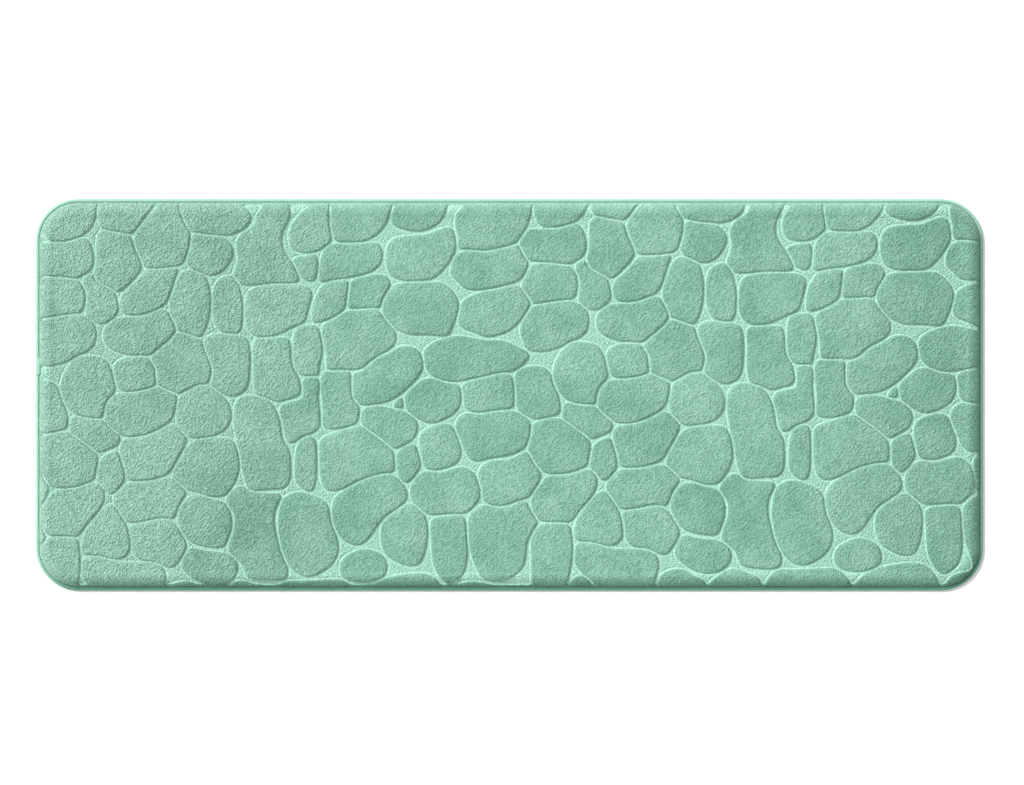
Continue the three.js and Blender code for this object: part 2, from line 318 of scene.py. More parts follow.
    [(-290, -140), (-283, -127.5), (-267, -122.5), (-239, -131), (-228.5, -141), (-227, -162),
     (-217, -184), (-217, -202), (-228, -218), (-249, -230), (-265, -228.5), (-278, -217), (-287, -197),
     (-293, -166)],
    [(-222, -130), (-207, -120.5), (-190, -110.5), (-165, -102), (-146, -101.5), (-130.5, -118),
     (-129.5, -133), (-145, -145.5), (-158, -152), (-168, -165), (-180, -184), (-192, -191),
     (-206, -186.5), (-216, -177), (-224, -157), (-224.5, -142)],
    [(-127, -136), (-106, -152.5), (-103.5, -172), (-106, -196), (-113, -214), (-128, -217),
     (-147, -209), (-160, -198), (-163, -180), (-162, -163), (-147, -150)],
    [(-109, -95.5), (-90, -100.5), (-63, -91.5), (-52, -93.5), (-42, -104), (-37.5, -118), (-38, -132),
     (-55, -150.5), (-75, -149), (-102, -152.5), (-125, -133), (-125.5, -114)],
    [(-52, -151), (-33, -138.5), (-20, -144), (-2, -143.5), (20, -133), (25, -146), (37, -161.5),
     (29, -172), (20.5, -185), (20.5, -205), (16, -220), (0, -232), (-20, -237.5), (-37, -231),
     (-48, -203), (-52, -178)],
    # Row 8
    [(-586, -181.5), (-548, -181.5), (-545.5, -190), (-543.5, -215), (-546, -238), (-553, -262),
     (-595, -262), (-595, -197)],
    [(-538, -205), (-518, -205.5), (-497, -212.5), (-452, -213), (-437, -219), (-435, -235),
     (-441, -252), (-446, -280), (-508, -280), (-516, -254), (-532, -242), (-541, -230), (-540, -215)],
    [(-404, -193), (-389, -198), (-360, -200), (-346, -209), (-343.5, -222), (-350, -233),
     (-362, -240.5), (-380, -242), (-400, -233), (-417, -217), (-409, -201)],
    [(-373, -256), (-358, -243), (-342, -234.5), (-328, -240), (-309, -246), (-306, -262), (-306, -280),
     (-373, -280)],
    [(-436, -250), (-428, -241), (-415, -237), (-403, -238), (-391, -246), (-377, -251), (-375, -275),
     (-436, -275)],
    [(-205, -203), (-186, -194.5), (-166, -199), (-155, -211), (-156, -227), (-170, -235), (-190, -238),
     (-206, -234), (-215, -225), (-213, -211)],
    [(-190, -262), (-184, -246), (-165, -235.5), (-148, -230), (-120, -226), (-104, -227), (-92, -235),
     (-83, -251), (-82, -280), (-190, -280)],
    [(-100.5, -157), (-80, -154.5), (-57, -152.5), (-55, -172), (-53.5, -205), (-58, -227),
     (-75, -240.5), (-84, -236), (-95, -220), (-98, -200), (-98.5, -180)],
    [(-551, -262), (-541, -248.5), (-533, -246), (-525, -250), (-518, -262), (-520, -280), (-550, -280)],
    [(-303, -262), (-296, -244), (-285, -236.5), (-250, -236), (-217, -233.5), (-205, -239),
     (-194, -252), (-192, -280), (-303, -280)],
    [(-78, -262), (-70, -244), (-56, -238), (-42, -237.5), (-28, -241), (-15, -250), (-12, -280),
     (-78, -280)],
]


# ---- Shapes on the plan ----

def rounded(corners):
    """A stone's corners in millimetres as a smooth closed outline in metres, each corner a short curve."""
    p = np.array(corners, float) * MM
    to_before = np.roll(p, 1, 0) - p
    to_after = np.roll(p, -1, 0) - p
    before = np.linalg.norm(to_before, axis=1, keepdims=True)
    after = np.linalg.norm(to_after, axis=1, keepdims=True)
    start = p + to_before * np.minimum(CORNER_ROUND / before, 0.5)
    end = p + to_after * np.minimum(CORNER_ROUND / after, 0.5)
    steps = [(1 - t) ** 2 * start + 2 * t * (1 - t) * p + t * t * end for t in (0, 0.33, 0.67, 1)]
    return np.stack(steps, 1).reshape(-1, 2)


def turned(outline, turns):
    """The same stone printed by the next turn of the roller, 1, or the one before, -1."""
    x, y = outline.T
    if turns == 1:
        along = x - TURN_START
        return np.stack([x + TURN + TURN_STRETCH * along, y + TURN_RISE - TURN_SKEW * along], 1)
    if turns == -1:
        back = (x - TURN + TURN_STRETCH * TURN_START) / (1 + TURN_STRETCH)
        return np.stack([back, y - TURN_RISE + TURN_SKEW * (back - TURN_START)], 1)
    return outline


def inside_distance(px, py, outline):
    """How far inside a closed outline each point is; outside it, less than nothing."""
    nearest = np.full(px.shape, np.inf)
    inside = np.zeros(px.shape, bool)
    for (ax, ay), (bx, by) in zip(outline, np.roll(outline, -1, 0)):
        ex, ey = bx - ax, by - ay
        wx, wy = px - ax, py - ay
        t = np.clip((wx * ex + wy * ey) / max(ex * ex + ey * ey, 1e-14), 0, 1)
        nearest = np.minimum(nearest, (wx - t * ex) ** 2 + (wy - t * ey) ** 2)
        if ey != 0:
            inside ^= ((ay > py) != (by > py)) & (wx < wy * ex / ey)
    return np.where(inside, 1, -1) * np.sqrt(nearest)


def stone_field(x, y):
    """How far each point is inside its stone's foot, with room for a groove kept between stones that crowd,
    and the tone that its stone's pile has been brushed to."""
    rng = np.random.default_rng(SEED + 50)
    tone = np.zeros(x.shape)
    first = np.full(x.shape, -REACH)
    second = np.full(x.shape, -REACH)
    for corners in STONES:
        for turns in (-1, 0, 1):
            outline = turned(rounded(corners), turns)
            own_tone = rng.uniform(-1, 1)
            (x0, y0), (x1, y1) = outline.min(0) - REACH, outline.max(0) + REACH
            near = np.flatnonzero((x > x0) & (x < x1) & (y > y0) & (y < y1))
            if near.size:
                d = inside_distance(x[near], y[near], outline)
                second[near] = np.maximum(second[near], np.minimum(first[near], d))
                tone[near] = np.where(d > first[near], own_tone, tone[near])
                first[near] = np.maximum(first[near], d)
    return np.minimum(first + SPREAD, (first - second) / 2 - GROOVE_WIDTH / 2), tone


def smooth(t):
    t = np.clip(t, 0, 1)
    return t * t * (3 - 2 * t)


def lumps(x, y, size, seed):
    """Smooth random values from -1 to 1 over the plan, in lumps about `size` metres across."""
    u, v = (x + 1) / size, (y + 1) / size
    table = np.random.default_rng(SEED + seed).uniform(-1, 1, (int(2 / size) + 3, int(2 / size) + 3))
    i, j = np.floor(u).astype(int), np.floor(v).astype(int)
    s, t = smooth(u - i), smooth(v - j)
    low = table[j, i] * (1 - s) + table[j, i + 1] * s
    high = table[j + 1, i] * (1 - s) + table[j + 1, i + 1] * s
    return low * (1 - t) + high * t


def rounded_grid(inset, nx, ny):
    """Plan positions of a grid that fills the mat's outline at an inset."""
    radius = CORNER - inset
    a, b = LENGTH / 2 - inset - radius, WIDTH / 2 - inset - radius
    columns = np.linspace(-a - radius, a + radius, nx + 1)
    rows = np.linspace(-b - radius, b + radius, ny + 1)
    x, y = np.meshgrid(columns, rows)
    u = np.clip((abs(x) - a) / radius, 0, 1)
    v = np.clip((abs(y) - b) / radius, 0, 1)
    corner = (u > 0) & (v > 0)
    bent_x = np.sign(x) * (a + radius * u * np.sqrt(1 - v * v / 2))
    bent_y = np.sign(y) * (b + radius * v * np.sqrt(1 - u * u / 2))
    return np.where(corner, bent_x, x), np.where(corner, bent_y, y)


def rim(values):
    """A grid's values round its rim, anticlockwise from its lowest corner."""
    return np.concatenate([values[0, :-1], values[:-1, -1], values[-1, :0:-1], values[:0:-1, 0]])


def inset_of(x, y):
    """How far points are inside the mat's outer edge."""
    qx, qy = abs(x) - (LENGTH / 2 - CORNER), abs(y) - (WIDTH / 2 - CORNER)
    return CORNER - np.hypot(np.maximum(qx, 0), np.maximum(qy, 0)) - np.minimum(np.maximum(qx, qy), 0)


def outwards(x, y):
    """The direction out of the mat at points near its edge."""
    cx = np.clip(x, -(LENGTH / 2 - CORNER), LENGTH / 2 - CORNER)
    cy = np.clip(y, -(WIDTH / 2 - CORNER), WIDTH / 2 - CORNER)
    d = np.stack([x - cx, y - cy], 1)
    return d / np.maximum(np.linalg.norm(d, axis=1, keepdims=True), 1e-9)


def turned_away(out):
    """How far each direction out of the mat faces away from the light, from 0 to 1."""
    return smooth(0.55 * out[:, 0] - out[:, 1])


def walk(distance):
    """Points on the outer edge and the directions out of it, anticlockwise from the right side's foot."""
    sides = [WIDTH - 2 * CORNER, LENGTH - 2 * CORNER] * 2
    bend = CORNER * math.pi / 2
    s = np.mod(distance, sum(sides) + 4 * bend)
    place = np.zeros((len(s), 2))
    out = np.zeros((len(s), 2))
    start = 0
    for k, side in enumerate(sides):
        reach = (LENGTH if k % 2 == 0 else WIDTH) / 2
        facing = np.array([math.cos(k * math.pi / 2), math.sin(k * math.pi / 2)]).round()
        along = np.array([-facing[1], facing[0]])
        here = (s >= start) & (s < start + side)
        place[here] = facing * reach + along * (s[here] - start - side / 2)[:, None]
        out[here] = facing
        start += side
        here = (s >= start) & (s < start + bend)
        turn = ((s[here] - start) / CORNER)[:, None]
        out[here] = facing * np.cos(turn) + along * np.sin(turn)
        place[here] = facing * (reach - CORNER) + along * side / 2 + CORNER * out[here]
        start += bend
    return place, out


# ---- Mesh building ----

def make_mesh(name, points, faces, values=None):
    """A smooth-shaded object from points, lists of equal-sized faces, and named values at the points."""
    mesh = bpy.data.meshes.new(name)
    mesh.vertices.add(len(points))
    mesh.vertices.foreach_set("co", np.asarray(points, np.float32).ravel())
    sizes = np.concatenate([np.full(len(f), f.shape[1]) for f in faces])
    mesh.loops.add(int(sizes.sum()))
    mesh.loops.foreach_set("vertex_index", np.concatenate([f.ravel() for f in faces]).astype(np.int32))
    mesh.polygons.add(len(sizes))
    mesh.polygons.foreach_set("loop_start", np.concatenate([[0], np.cumsum(sizes)[:-1]]).astype(np.int32))
    mesh.polygons.foreach_set("use_smooth", np.ones(len(sizes), bool))
    mesh.update(calc_edges=True)
    for key, data in (values or {}).items():
        mesh.attributes.new(key, "FLOAT", "POINT").data.foreach_set("value", np.asarray(data, np.float32))
    lay_flat(mesh, np.asarray(points), sizes)
    obj = bpy.data.objects.new(name, mesh)
    bpy.context.scene.collection.objects.link(obj)
    return obj


def lay_flat(mesh, points, sizes):
    """The mesh's texture layout, with what faces down on the other half of the square."""
    normals = np.empty(len(sizes) * 3, np.float32)
    mesh.polygons.foreach_get("normal", normals)
    is_lower = np.repeat(normals[2::3] < 0, sizes)
    corners = np.empty(len(mesh.loops), np.int32)
    mesh.loops.foreach_get("vertex_index", corners)
    span = LENGTH * 1.05
    u = 0.5 + points[corners, 0] / span
    v = 0.25 + points[corners, 1] / span + 0.5 * is_lower
    layer = mesh.uv_layers.new(name="OFBake")
    layer.data.foreach_set("uv", np.stack([u, v], 1).astype(np.float32).ravel())


def grid_faces(index, faces_up):
    quads = np.stack([index[:-1, :-1], index[:-1, 1:], index[1:, 1:], index[1:, :-1]], 2).reshape(-1, 4)
    return quads if faces_up else quads[:, ::-1]


def band(upper, lower):
    """Faces between two loops of points; the lower may have half as many."""
    if len(upper) == len(lower):
        return [np.stack([lower, np.roll(lower, -1), np.roll(upper, -1), upper], 1)]
    first, middle, last = upper[::2], upper[1::2], np.roll(upper, -2)[::2]
    after = np.roll(lower, -1)
    return [
        np.stack([lower, middle, first], 1),
        np.stack([lower, after, middle], 1),
        np.stack([after, last, middle], 1),
    ]


def shell(name, top, rings, bottom, values=None):
    """A closed skin: a grid facing up, and loops of points from its rim to a second grid facing down."""
    points = [np.stack([c.ravel() for c in top], 1)]
    index = np.arange(top[0].size).reshape(top[0].shape)
    faces = [grid_faces(index, True)]
    previous = rim(index)
    count = top[0].size
    for ring in rings:
        loop = np.arange(count, count + len(ring))
        points.append(ring)
        faces += band(previous, loop)
        previous = loop
        count += len(ring)
    index = np.arange(count, count + bottom[0].size).reshape(bottom[0].shape)
    points.append(np.stack([c.ravel() for c in bottom], 1))
    faces += band(previous, rim(index))
    faces.append(grid_faces(index, False))
    groups = [[f for f in faces if f.shape[1] == corners] for corners in (4, 3)]
    return make_mesh(name, np.concatenate(points), [np.concatenate(g) for g in groups if g], values)


def sweep(name, sections, is_closed, values=None):
    """A skin through a row of equal closed sections, an array (sections, points, 3)."""
    n, m = sections.shape[:2]
    index = np.arange(n * m).reshape(n, m)
    ahead = np.roll(index, -1, 0) if is_closed else index[1:]
    here = index if is_closed else index[:-1]
    faces = [np.stack([here, np.roll(here, -1, 1), np.roll(ahead, -1, 1), ahead], 2).reshape(-1, 4)]
    if not is_closed:
        faces.append(np.stack([index[0][::-1], index[-1]]))
    return make_mesh(name, sections.reshape(-1, 3), faces, values)


def level_ring(x, y, reach, level):
    """A loop of points at one height, moved outwards by `reach`."""
    out = outwards(x, y) * reach
    return np.column_stack([x + out[:, 0], y + out[:, 1], np.full(len(x), level)])


# ---- The fleece face and the foam under it ----

def relief(e, shrink=0.0):
    """1 on a stone and 0 on a groove's floor, where a lower layer's stones are smaller by `shrink`."""
    return smooth((e - shrink) / WALL_WIDTH)


def pocket(e):
    """0 on stones and in the narrow grooves, rising to 1 in the wide pockets between stones."""
    return smooth((-e - POCKET_START) / POCKET_RUN)


def over_shoulder(x, y, degrees, across):
    """Where points on the top's rim come to on the plan, further down a rounded shoulder."""
    reach = across * math.cos(math.radians(degrees))
    out = outwards(x, y)
    return x + out[:, 0] * reach, y + out[:, 1] * reach


def shoulder_ring(x, y, across, low, up, degrees, depth):
    """The points of one loop of a rounded shoulder, pushed into it by a depth at each point."""
    t = math.radians(degrees)
    slant = np.array([math.cos(t) / across, math.sin(t) / up])
    slant = slant / np.linalg.norm(slant)
    out = outwards(x, y)
    flat = np.stack([x, y], 1) + out * (across * math.cos(t) - depth * slant[0])[:, None]
    return np.column_stack([flat, low + up * math.sin(t) ** SHOULDER_FULLNESS - depth * slant[1]])


def ring_depths(x, y, shrink, share):
    """The embossing mark, the grooves' depth and the stones' tone along one loop of the shoulder. The
    grooves fade out just above its foot."""
    e, tone = stone_field(x, y)
    fade = smooth((inset_of(x, y) - EDGE_PLAIN) / EDGE_BLEND)
    depth = (1 - relief(e, shrink)) * fade * GROOVE_DEPTH * share
    return 1 - (1 - relief(e) + pocket(e)) * fade, depth, tone


def clumps(x, y):
    """The lie of the pile's small tufts, which lean one way across the mat's diagonal."""
    warp = lumps(x, y, 0.009, 1) * 0.002
    along, across = (x + y) * 0.42 + warp, (x - y) * 0.72 - warp
    fine = lumps(along, across, 0.0026, 2)
    return 0.7 * fine + 0.3 * lumps(x, y, 0.0019, 3)


def ruffled(x):
    """How rough the pile stands: roughest at the left end, and a little rougher again at the right end."""
    return 0.6 + 0.6 * smooth((-0.16 - x) / 0.26) + 0.25 * smooth((x - 0.30) / 0.25)


def nap_and_painted_highlight(x, y):
    """Where the pile has been brushed the dark way: a few broad patches with broken edges and the right end,
    less a painted highlight on the far shoulder, which faces the light and is painted lighter."""
    value = 0.16 * lumps(x, y, 0.05, 4) + 0.19 * lumps(x, y, 0.021, 5)
    for px, py, size, weight in NAP_PATCHES:
        far = ((x - px) ** 2 + (y - py) ** 2) / size ** 2
        value = value + weight * np.exp(-far) * (1 + 0.5 * lumps(x, y, 0.016, 6))
    value = value + 0.42 * smooth((x - 0.40) / 0.16)
    # Painted highlight: less dark brushing on the far shoulder's slope, where it faces the light
    return value - 0.5 * smooth(outwards(x, y)[:, 1]) * smooth(1.2 - inset_of(x, y) / 0.012)


def face_top(x, y, e):
    """The height of the face's upper side: crowned stones with small tufts between pressed grooves."""
    raised = relief(e)
    crown = CROWN * (1 - np.exp(-np.maximum(e - WALL_WIDTH, 0) / CROWN_RUN))
    tufts = TUFT_HEIGHT * ruffled(x) * clumps(x, y) * (0.35 + 0.65 * raised)
    swell = SWELL_HEIGHT * lumps(x, y, 0.03, 7) * raised
    from_rim = smooth((inset_of(x, y) - SHOULDER_TOP) / RIM_BLEND)
    return FACE_TOP - GROOVE_DEPTH * (1 - raised) + (crown - CROWN + tufts + swell - PILE_SINK) * from_rim


def looks_at(x, y, mark=1.0, tone=0.0):
    """A row for each point: its embossing mark, its stone's tone and its place on the plan."""
    return np.column_stack([np.ravel(c) for c in np.broadcast_arrays(mark, tone, x, y)])


def plain(ring):
    """A loop of points with the looks of plain pile."""
    return ring, looks_at(ring[:, 0], ring[:, 1])


def face_shoulder(x, y):
    """The embossed loops from the top's rim down the shoulder to the seam, each with its looks."""
    across, up = SHOULDER_TOP - SHOULDER_FOOT, FACE_TOP - PILE_AT_SEAM
    loops = []
    for k in range(1, RINGS + 1):
        degrees = 90 * (1 - k / RINGS)
        px, py = over_shoulder(x, y, degrees, across)
        mark, depth, tone = ring_depths(px, py, 0, 1)
        tufts = SIDE_TUFT_HEIGHT * ruffled(px) * clumps(px, py) * math.sin(math.radians(degrees))
        ring = shoulder_ring(x, y, across, PILE_AT_SEAM, up, degrees, depth - tufts)
        loops.append((ring, looks_at(px, py, mark, tone)))
    return loops


def face_hem(x, y):
    """The plain loops of the flange that the tape grips."""
    section = ((SHOULDER_FOOT, FLANGE_TOP), (RAW_EDGE, FLANGE_TOP), (RAW_EDGE, FLANGE_BOTTOM))
    return [plain(level_ring(x, y, SHOULDER_TOP - inset, level)) for inset, level in section]


def face_lining(x, y):
    """The loops up the inside of the shoulder, over the foam."""
    across, up = SHOULDER_TOP - FOAM_EDGE + 2 * GAP, FACE_UNDERSIDE - FLANGE_BOTTOM
    loops = []
    for degrees in (0, 15, 30, 45, 60, 75):
        _, depth, _ = ring_depths(*over_shoulder(x, y, degrees, across), LINING_SHRINK, LINING_SHARE)
        loops.append(plain(shoulder_ring(x, y, across, FLANGE_BOTTOM, up, degrees, depth)))
    return loops


def face_cover(x, y, e, tone):
    """The fleece as one closed skin, with shallower hollows in its underside."""
    ux, uy, ue = x[::2, ::2], y[::2, ::2], e[::2, ::2]
    under = FACE_UNDERSIDE - LINING_SHARE * GROOVE_DEPTH * (1 - relief(ue, LINING_SHRINK))
    loops = face_shoulder(rim(x), rim(y)) + face_hem(rim(x), rim(y)) + face_lining(rim(ux), rim(uy))
    rings, ring_looks = zip(*loops)
    looks = [looks_at(x, y, relief(e) - pocket(e), tone), *ring_looks, looks_at(ux, uy)]
    mark, tone, px, py = np.concatenate(looks).T
    # The nap value holds a painted highlight on the far shoulder; shade is painted shade on the shoulders
    # that face away from the light
    values = {
        "emboss": mark,
        "tuft": clumps(px, py),
        "nap_and_painted_highlight": nap_and_painted_highlight(px, py) + STONE_TONE * tone,
        "shade": turned_away(outwards(px, py)) * smooth(1 - inset_of(px, py) / SHADE_REACH),
        "ruffle": ruffled(px),
    }
    return shell("mat_face", (x, y, face_top(x, y, e)), rings, (ux, uy, under), values)


def foam_core(x, y, e):
    """The foam slab with its rounded upper edge, pressed a little under the grooves of the face."""
    x, y, e = x[::3, ::3], y[::3, ::3], e[::3, ::3]
    top = FOAM_TOP - GAP - FOAM_SHARE * GROOVE_DEPTH * (1 - relief(e, FOAM_SHRINK))
    across, up = SHOULDER_TOP - FOAM_EDGE, FOAM_TOP - FLANGE_BOTTOM
    rx, ry = rim(x), rim(y)
    rings = []
    for degrees in (80, 65, 50, 35, 20, 8, 0):
        _, depth, _ = ring_depths(*over_shoulder(rx, ry, degrees, across), FOAM_SHRINK, FOAM_SHARE)
        rings.append(shoulder_ring(rx, ry, across, FLANGE_BOTTOM, up, degrees, depth + GAP))
    rings.append(level_ring(rx, ry, across, FOAM_BOTTOM))
    return shell("mat_foam", (x, y, top), rings, (x, y, np.full(x.shape, FOAM_BOTTOM)))


# ---- The backing and its grip dots ----

def backing_cloth():
    """The woven backing: flat under the foam, its rim stepped up over the tape's lower lip."""
    inset = FOAM_EDGE - GAP
    x, y = rounded_grid(inset, *BACKING_GRID)
    height = 0.00004
    wave = height * lumps(x, y, 0.012, 8)
    section = [
        (TAPE_LIP_BELOW + GAP, FLANGE_BOTTOM - GAP),
        (RAW_EDGE, FLANGE_BOTTOM - GAP),
        (RAW_EDGE, BACKING_RIM),
        (TAPE_LIP_BELOW, BACKING_RIM),
    ]
    rings = [level_ring(rim(x), rim(y), inset - at, level) for at, level in section]
    upper, lower = BACKING_TOP - GAP / 2 + wave, BACKING_BOTTOM + height + wave
    return shell("mat_backing", (x, y, upper), rings, (x, y, lower))


def dot_spots():
    """The middles of the dots in staggered rows, leaving the edge and the care label's place bare."""
    row = DOT_PITCH * math.sqrt(3) / 2
    rows = int((WIDTH / 2 - DOTS_EDGE) / row)
    columns = int((LENGTH / 2 - DOTS_EDGE) / DOT_PITCH)
    spots = []
    for j in range(-rows, rows + 1):
        for i in range(-columns - 1, columns + 2):
            spots.append(((i + 0.5 * (j % 2)) * DOT_PITCH, j * row))
    spots = np.array(spots)
    x, y = spots.T
    beside = abs(x - LABEL_MIDDLE) < LABEL_WIDTH / 2 + 0.0025
    before = y < TAPE_LIP_BELOW + LABEL_LENGTH + 0.003 - WIDTH / 2
    return spots[(inset_of(x, y) > DOTS_EDGE + DOT_RADIUS) & ~(beside & before)]


def grip_dots():
    """Low printed domes, each of three rings, flat where they touch the floor."""
    spots = dot_spots()
    rng = np.random.default_rng(SEED)
    size = DOT_RADIUS * rng.uniform(0.94, 1.05, len(spots))
    angle = np.arange(DOT_SIDES) * 2 * math.pi / DOT_SIDES
    circle = np.stack([np.cos(angle), np.sin(angle)], 1)
    levels = ((1.0, BACKING_BOTTOM), (0.86, 0.0003), (0.5, 0.0))
    points = []
    for share, level in levels:
        flat = spots[:, None, :] + circle[None] * (size * share)[:, None, None]
        points.append(np.concatenate([flat, np.full((len(spots), DOT_SIDES, 1), level)], 2))
    points = np.concatenate(points, 1).reshape(-1, 3)
    base = np.arange(len(spots))[:, None] * DOT_SIDES * len(levels)
    own = np.arange(DOT_SIDES)
    after = np.roll(own, -1)
    quads = []
    for upper in (0, DOT_SIDES):
        lower = upper + DOT_SIDES
        quad = np.stack([own + upper, own + lower, after + lower, after + upper], 1)
        quads.append((base[:, :, None] + quad[None]).reshape(-1, 4))
    caps = [base + own, base + 2 * DOT_SIDES + own[::-1]]
    tone = np.repeat(rng.uniform(-1, 1, len(spots)), DOT_SIDES * len(levels))
    return make_mesh("mat_grip_dots", points, [np.concatenate(quads), np.concatenate(caps)], {"tone": tone})


# ---- Edge tape and stitching ----

def tape_surface(depth):
    """The folded tape's section at a depth inside its outer surface, from the lower lip round to the upper
    one: inset, height, and how far up the fold each point is."""
    middle, high = (TAPE_BOTTOM + TAPE_TOP) / 2, (TAPE_TOP - TAPE_BOTTOM) / 2
    points = [(TAPE_LIP_BELOW, TAPE_BOTTOM + depth, 0)]
    for degrees in np.linspace(-90, 90, 9):
        t = math.radians(degrees)
        inset = TAPE_FOLD - (TAPE_FOLD - depth) * math.cos(t)
        points.append((inset, middle + (high - depth) * math.sin(t), max(math.sin(t), 0)))
    points.append((TAPE_LIP_ABOVE - 2 * GAP, TAPE_TOP - GAP - 0.9 * depth, 1))
    return np.array(points)


def edge_tape():
    """The tape folded round the edge, puckered by its stitches. Its second end laps over the first, and each
    is pressed to half its thickness there."""
    left_middle = 1.5 * (WIDTH - 2 * CORNER) + LENGTH - 2 * CORNER + math.pi * CORNER
    s = np.linspace(0, PERIMETER + LAP, TAPE_POINTS)
    place, out = walk(s + left_middle - LAP_AT)
    over = smooth((s - (PERIMETER - 0.010)) / 0.009)[:, None]
    under = 1 - smooth((s - LAP) / 0.002)[:, None]
    pucker = np.sin(s / STITCH_PITCH * 2 * math.pi)[:, None]
    rng = np.random.default_rng(SEED + 20)
    slack_at = np.linspace(0, PERIMETER + LAP, SLACK_POINTS)
    slack = np.interp(s, slack_at, rng.uniform(-1, 1, SLACK_POINTS))[:, None]

    outer, inner = tape_surface(0), tape_surface(TAPE_THICKNESS)
    front = outer + (inner - outer) * 0.55 * under[:, :, None]
    back = outer + (inner - outer) * (1 - 0.5 * over[:, :, None])
    tip = (front[:, -1:] + back[:, -1:]) / 2 + [2 * GAP, 0, 0]
    inset, level, up = np.moveaxis(np.concatenate([front, tip, back[:, ::-1]], 1), 2, 0)

    count = inset.shape[1]
    is_lip = np.abs(np.arange(count) - count // 2) < 2
    is_front = np.arange(count) <= count // 2
    loose = up * is_front
    stitched = np.exp(-((inset - STITCH_LINE) / 0.0012) ** 2) * loose
    lift = TAPE_SLACK * (slack * loose - (1 + pucker) * stitched)
    lift = lift + over * (0.0009 * up + 0.0026 * is_lip)
    move = inset + 0.00015 * slack * loose + 0.0015 * over * is_lip
    flat = place[:, None] - out[:, None] * move[:, :, None]
    sections = np.concatenate([flat, (level + lift)[:, :, None]], 2)[:, ::-1]

    # Painted shade on the tape's outer side where the edge faces away from the light, none on its underside
    is_seen = outer[:, 1] > TAPE_BOTTOM + 0.0008
    is_seen = np.concatenate([is_seen, [True], is_seen[::-1]])
    shade = np.outer(turned_away(out), is_seen[::-1]).ravel()
    return sweep("mat_edge_tape", sections, False, {"along": np.repeat(s, count), "shade": shade})


def stitches(name, level, side):
    """One thread of the lock stitch, lying on the tape between holes and dipping into each one."""
    count = round(PERIMETER / STITCH_PITCH)
    s = np.linspace(0, PERIMETER, count * 7, endpoint=False)
    place, out = walk(s)
    phase = np.mod(s / PERIMETER * count, 1)
    sink = np.clip(np.abs(phase - 0.5) * 2, 0, 1) ** 6
    rng = np.random.default_rng(SEED + 30 + int(side > 0))
    slant = 0.00016 * (phase - 0.5) + 0.00004 * rng.uniform(-1, 1, len(s))
    flat = place - out * (STITCH_LINE + slant)[:, None]
    centre = np.column_stack([flat, level - side * STITCH_DIP * sink])
    rows = []
    for k in range(8):
        t = k * math.pi / 4
        around = np.column_stack([out * math.cos(t), np.full(len(s), math.sin(t))])
        rows.append(centre + around * THREAD / 2 * 0.96)
    # Painted shade where the edge faces away from the light
    values = {"along": np.repeat(s, 8), "shade": np.repeat(turned_away(out), 8)}
    return sweep(name, np.stack(rows, 1)[:, ::-1], True, values)


# ---- Care label ----

def care_label():
    """A blank ribbon of satin folded at its far end, both ends caught under the tape's lower lip."""
    low, high, bend_reach = 0.00032, 0.00056, 0.0003
    root = -WIDTH / 2 + TAPE_LIP_BELOW + GAP
    end = -WIDTH / 2 + TAPE_LIP_BELOW + LABEL_LENGTH - bend_reach
    v = np.linspace(0, 1, 45)
    lay = root + (end - root) * v
    lift = 0.0007 * (1 - smooth(v / 0.07)) + 0.00002 * np.sin(v * 9)
    bend = np.radians(np.linspace(-80, 80, 9))
    fold_y = end + 0.0002 * np.cos(bend)
    fold_z = (low + high) / 2 + (high - low) / 2 * np.sin(bend) + lift[-1]
    y = np.concatenate([lay, fold_y, lay[::-1]])
    z = np.concatenate([low + lift, fold_z, (high + lift)[::-1]])
    tangent = np.stack([np.gradient(y), np.gradient(z)], 1)
    tangent = tangent / np.linalg.norm(tangent, axis=1, keepdims=True)
    normal = np.stack([tangent[:, 1], -tangent[:, 0]], 1) * RIBBON / 2
    middle = np.stack([y, z], 1)
    section = np.concatenate([middle + normal, (middle - normal)[::-1]])
    places = np.linspace(LABEL_MIDDLE - LABEL_WIDTH / 2, LABEL_MIDDLE + LABEL_WIDTH / 2, 33)
    sections = np.stack([np.column_stack([np.full(len(section), x), section]) for x in places])
    return sweep("mat_care_label", sections, False)


# ---- Materials ----

def srgb(colour):
    """An 8-bit display colour as the linear one that a shader takes."""
    linear = [c / 255 / 12.92 if c / 255 <= 0.04045 else ((c / 255 + 0.055) / 1.055) ** 2.4 for c in colour]
    return (*linear, 1.0)


